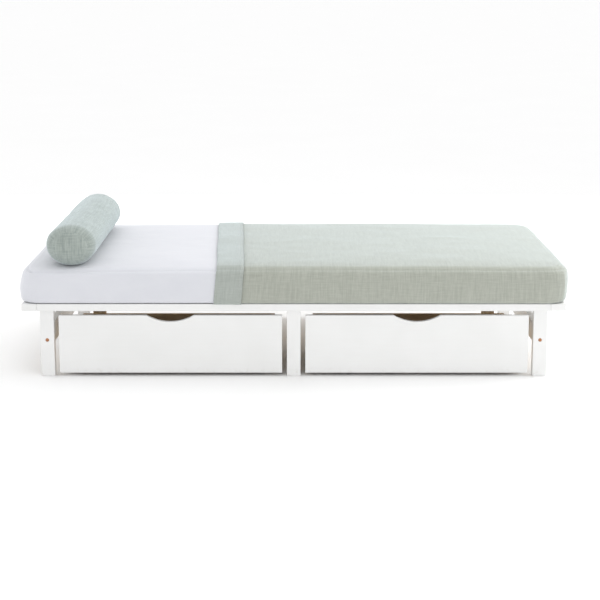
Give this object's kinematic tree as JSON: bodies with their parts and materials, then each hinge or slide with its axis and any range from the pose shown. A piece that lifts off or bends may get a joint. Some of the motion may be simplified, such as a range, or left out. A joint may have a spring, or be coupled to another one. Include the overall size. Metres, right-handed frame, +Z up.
{
  "type": "bed frame with drawers",
  "caption": "Low white wooden platform bed with roll-out drawers that have half-moon finger cut-outs, slatted deck, mattress, linen cover and bolster.",
  "frame": {"origin": "on the floor under the middle of the bed, at the bottom centre of its bounding box", "axes": "+X runs along the bed from the head end to the foot end, +Y from the drawer side to the far side, +Z up"},
  "size_m": [2, 0.9, 0.5705],
  "materials": {
    "white_paint": "satin white paint on wood",
    "bare_wood": "plain brown wood, lightly sealed",
    "pine": "planed pine",
    "hardboard": "smooth brown hardboard",
    "copper_steel": "copper-toned plated steel",
    "zinc_steel": "zinc-plated sheet steel",
    "grey_plastic": "moulded plastic",
    "white_cotton": "plain-woven white cotton",
    "ticking": "woven mattress ticking",
    "sage_linen": "sage linen weave"
  },
  "bodies": {
    "frame": {"side_rail_front": "white_paint", "bearer_front": "pine", "side_rail_back": "white_paint", "bearer_back": "pine", "end_board_head": "white_paint", "end_board_foot": "white_paint", "slat_01": "pine", "slat_02": "pine", "slat_03": "pine", "slat_04": "pine", "slat_05": "pine", "slat_06": "pine", "slat_07": "pine", "slat_08": "pine", "slat_09": "pine", "drawer_stop_left": "bare_wood", "drawer_stop_right": "bare_wood", "cross_rail_head": "white_paint", "leg_head_front": "white_paint", "leg_head_back": "white_paint", "cross_rail_middle": "white_paint", "leg_middle_front": "white_paint", "leg_middle_back": "white_paint", "cross_rail_foot": "white_paint", "leg_foot_front": "white_paint", "leg_foot_back": "white_paint", "bolt_head_front": "copper_steel", "bolt_head_back": "copper_steel", "bolt_foot_front": "copper_steel", "bolt_foot_back": "copper_steel"},
    "left_drawer": {"left_drawer_front": "white_paint", "left_drawer_head_side": "bare_wood", "left_drawer_foot_side": "bare_wood", "left_drawer_back": "bare_wood", "left_drawer_bottom": "hardboard", "left_castor_head_front": "zinc_steel", "left_castor_head_back": "zinc_steel", "left_castor_foot_front": "zinc_steel", "left_castor_foot_back": "zinc_steel"},
    "right_drawer": {"right_drawer_front": "white_paint", "right_drawer_head_side": "bare_wood", "right_drawer_foot_side": "bare_wood", "right_drawer_back": "bare_wood", "right_drawer_bottom": "hardboard", "right_castor_head_front": "zinc_steel", "right_castor_head_back": "zinc_steel", "right_castor_foot_front": "zinc_steel", "right_castor_foot_back": "zinc_steel"},
    "left_wheel_head_front": {"left_wheel_head_front": "grey_plastic"},
    "left_wheel_head_back": {"left_wheel_head_back": "grey_plastic"},
    "left_wheel_foot_front": {"left_wheel_foot_front": "grey_plastic"},
    "left_wheel_foot_back": {"left_wheel_foot_back": "grey_plastic"},
    "right_wheel_head_front": {"right_wheel_head_front": "grey_plastic"},
    "right_wheel_head_back": {"right_wheel_head_back": "grey_plastic"},
    "right_wheel_foot_front": {"right_wheel_foot_front": "grey_plastic"},
    "right_wheel_foot_back": {"right_wheel_foot_back": "grey_plastic"},
    "mattress": {"mattress": "ticking", "fitted_sheet": "white_cotton", "cover": "sage_linen"},
    "bolster": {"bolster": "sage_linen"}
  },
  "joints": [
    {"name": "left_drawer_roll", "type": "slide", "parent": "frame", "child": "left_drawer", "axis": [0, -1, 0], "range_m": [0, 0.45]},
    {"name": "right_drawer_roll", "type": "slide", "parent": "frame", "child": "right_drawer", "axis": [0, -1, 0], "range_m": [0, 0.45]},
    {"name": "left_wheel_head_front_spin", "type": "hinge", "parent": "left_drawer", "child": "left_wheel_head_front", "pos_m": [-0.8351, -0.3747, 0.0204], "axis": [1, 0, 0], "continuous": true},
    {"name": "left_wheel_head_back_spin", "type": "hinge", "parent": "left_drawer", "child": "left_wheel_head_back", "pos_m": [-0.8351, -0.1027, 0.0204], "axis": [1, 0, 0], "continuous": true},
    {"name": "left_wheel_foot_front_spin", "type": "hinge", "parent": "left_drawer", "child": "left_wheel_foot_front", "pos_m": [-0.0649, -0.3747, 0.0204], "axis": [1, 0, 0], "continuous": true},
    {"name": "left_wheel_foot_back_spin", "type": "hinge", "parent": "left_drawer", "child": "left_wheel_foot_back", "pos_m": [-0.0649, -0.1027, 0.0204], "axis": [1, 0, 0], "continuous": true},
    {"name": "right_wheel_head_front_spin", "type": "hinge", "parent": "right_drawer", "child": "right_wheel_head_front", "pos_m": [0.0649, -0.3747, 0.0204], "axis": [1, 0, 0], "continuous": true},
    {"name": "right_wheel_head_back_spin", "type": "hinge", "parent": "right_drawer", "child": "right_wheel_head_back", "pos_m": [0.0649, -0.1027, 0.0204], "axis": [1, 0, 0], "continuous": true},
    {"name": "right_wheel_foot_front_spin", "type": "hinge", "parent": "right_drawer", "child": "right_wheel_foot_front", "pos_m": [0.8351, -0.3747, 0.0204], "axis": [1, 0, 0], "continuous": true},
    {"name": "right_wheel_foot_back_spin", "type": "hinge", "parent": "right_drawer", "child": "right_wheel_foot_back", "pos_m": [0.8351, -0.1027, 0.0204], "axis": [1, 0, 0], "continuous": true},
    {"name": "mattress_lift", "type": "slide", "parent": "frame", "child": "mattress", "axis": [0, 0, 1], "range_m": [0, 0.35]},
    {"name": "bolster_lift", "type": "slide", "parent": "mattress", "child": "bolster", "axis": [0, 0, 1], "range_m": [0, 0.25]}
  ],
  "couplings": [
    {"joint": "left_wheel_head_front_spin", "follows": "left_drawer_roll", "rad_per_m": 50},
    {"joint": "left_wheel_head_back_spin", "follows": "left_drawer_roll", "rad_per_m": 50},
    {"joint": "left_wheel_foot_front_spin", "follows": "left_drawer_roll", "rad_per_m": 50},
    {"joint": "left_wheel_foot_back_spin", "follows": "left_drawer_roll", "rad_per_m": 50},
    {"joint": "right_wheel_head_front_spin", "follows": "right_drawer_roll", "rad_per_m": 50},
    {"joint": "right_wheel_head_back_spin", "follows": "right_drawer_roll", "rad_per_m": 50},
    {"joint": "right_wheel_foot_front_spin", "follows": "right_drawer_roll", "rad_per_m": 50},
    {"joint": "right_wheel_foot_back_spin", "follows": "right_drawer_roll", "rad_per_m": 50}
  ]
}
